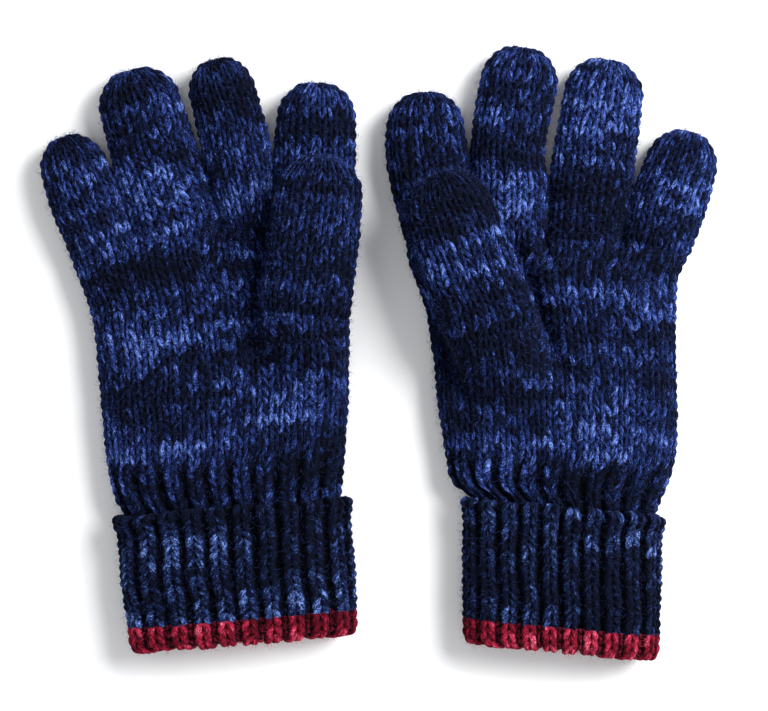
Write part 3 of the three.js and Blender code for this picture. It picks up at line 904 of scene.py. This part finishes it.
# the fold at the foot of the cuff: a ribbed band that goes down, turns under through half a
# circle and comes back up inside
def makeHem(glove, cuff, seed):
    line, far = cuff["line"], cuff["line"]["length"]
    rows, bendRadius = hemLook["rows"], hemLook["thick"] / 2
    straight = hemLook["tall"] - bendRadius
    column = crowded(hemLook["columns"] * 2, hemLook["legSteps"], knitting["squeeze"]) / 2
    col = column[None, :-1]
    row = crowded(rows, hemLook["rowSteps"] + 2, 0.0)[:, None]
    way = row / rows * (2 * straight + np.pi * bendRadius)
    angle = np.clip((way - straight) / bendRadius, 0, np.pi)
    distance = far - hemLook["tall"] + np.minimum(way, straight) + bendRadius * np.sin(angle)
    distance = distance - np.maximum(way - straight - np.pi * bendRadius, 0)
    inset = bendRadius * (1 - np.cos(angle))
    wave = (valueNoise(col / 2.0, col * 0, seed + 19, hemLook["columns"] // 2) - 0.5) * 1.6 * mm
    around = (col + ribSqueeze(col)) / hemLook["columns"] + 0 * row
    base = ringsOn(line, distance + wave * np.sin(angle / 2), around, hemLook, hemLook["relief"] + inset)
    normal = outwards(base)
    if np.mean(np.sum(normal[2] * (base[2] - base[2].mean(0)), -1)) < 0:
        normal = -normal
    purl = (np.floor(col) % 2 == 1) * 1.0
    legs, owner = legsAt(col, row, hemLook)
    height = legs * (1 - purl) + 0.5 * barHeight(col, row) * purl
    furrow = 0.55 * furrowAt(col) * (0.5 + 0.5 * np.sin(row / rows * np.pi))
    outer = base + normal * (height * hemLook["relief"] - furrow)[..., None]
    outer[..., 2] = np.maximum(outer[..., 2], 0)
    shade = yarnShade(col + 0 * row, owner, hemLook["columns"], seed + 77)
    name = f"{glove}_red_hem_knit"
    mesh = shellMesh(name, outer, column, row[:, 0], np.clip(height, 0, 1), shade, False, (len(outer) - 1,))
    loose = fibresOn(f"{glove}_red_hem_fuzz", outer, normal, seed + 78, looseRed)
    atRest([newPiece(name, mesh, redWool), loose], f"{glove}_cuff", f"{glove}_red_hem")


def makeGlove(glove):
    seed = seeds[glove]
    hand, cuffBody = f"{glove}_hand", f"{glove}_cuff"
    digits = {finger: makeFinger(glove, finger, fingerLook, seed + 10 * number)
              for number, finger in enumerate(fingers)}
    thumb = makeFinger(glove, "thumb", thumbLook, seed + 60)
    print(glove, "fingers knitted")

    palm = palmLine(glove, digits)
    ribbed = lambda row: 1 - ease(row, palmLook["ribbedRows"] - 1.5, palmLook["ribbedRows"] + 1.5)
    atRest(knitTube(hand + "_knit", palm, (-palmLook["intoCuff"], palm["length"]), palmLook, blueMarl,
                    seed + 70, rib=ribbed, shape=palmShape(glove, palm, digits, thumb)),
           hand, hand)
    print(glove, "hand knitted")

    cuff = cuffLine(glove)
    foot = cuff["line"]["length"] - hemLook["tall"] + hemLook["overCuff"]
    turned = knitTube(f"{glove}_turned_cuff_knit", cuff["line"], (-0.5 * mm, foot), cuffLook, cuffMarl,
                      seed + 80, rib=1.0, lip=cuffLook["lip"], ragged=cuffLook["ragged"])
    atRest(turned, cuffBody, f"{glove}_turned_cuff")
    closer = np.array([0, 0, 0, 3.5, 7, -3.5]) * mm    # narrower, lower and off the table
    inside = {**cuff["line"], "values": cuff["line"]["values"] - closer}
    wristRib = knitTube(f"{glove}_wrist_rib_knit", inside, (4 * mm, foot), wristLook, cuffMarl, seed + 90,
                        rib=1.0, fibres=False)
    bending(wristRib,
            f"{glove}_wrist_rib")
    makeHem(glove, cuff, seed)
    for finger in ("index", "thumb"):
        cap = frame["nodes"][f"{glove}_{finger}_contact"].data
        cap.materials.clear()
        cap.materials.append(conductive)
    print(glove, "cuff knitted")


for glove in seeds:
    makeGlove(glove)


# straight down from above, as wide as the pair and a little more at their height
view = {"centre": (2.1 * mm, -0.9 * mm), "width": 291.8 * mm, "away": 1.1, "sensor": 36.0}

camera = bpy.data.objects.new("camera", bpy.data.cameras.new("camera"))
camera.location = (*view["centre"], view["away"])
camera.data.sensor_width = view["sensor"]
camera.data.lens = view["sensor"] * (view["away"] - 15 * mm) / view["width"]
bpy.context.scene.collection.objects.link(camera)
bpy.context.scene.camera = camera

table = bpy.data.meshes.new("floor")
table.from_pydata([(-3, -3, 0), (3, -3, 0), (3, 3, 0), (-3, 3, 0)], [], [(0, 1, 2, 3)])
floor = bpy.data.objects.new("floor", table)
bpy.context.scene.collection.objects.link(floor)
table.materials.append(paleFloor)


def areaLight(name, place, size, power, colour=(1, 1, 1)):
    light = bpy.data.objects.new(name, bpy.data.lights.new(name, "AREA"))
    light.data.size = size
    light.data.energy = power
    light.data.color = colour
    light.location = place
    light.rotation_euler = (-Vector(place)).to_track_quat("-Z", "Y").to_euler()
    bpy.context.scene.collection.objects.link(light)


areaLight("window", (0.9, 0.5, 0.95), 0.8, 33)
areaLight("fill", (-0.5, -0.6, 1.6), 1.6, 7)
world = bpy.data.worlds.new("room")
bpy.context.scene.world = world
world.use_nodes = True
world.node_tree.nodes["Background"].inputs["Color"].default_value = (0.95, 0.97, 1, 1)
world.node_tree.nodes["Background"].inputs["Strength"].default_value = 0.5
bpy.context.scene.view_settings.view_transform = "Standard"
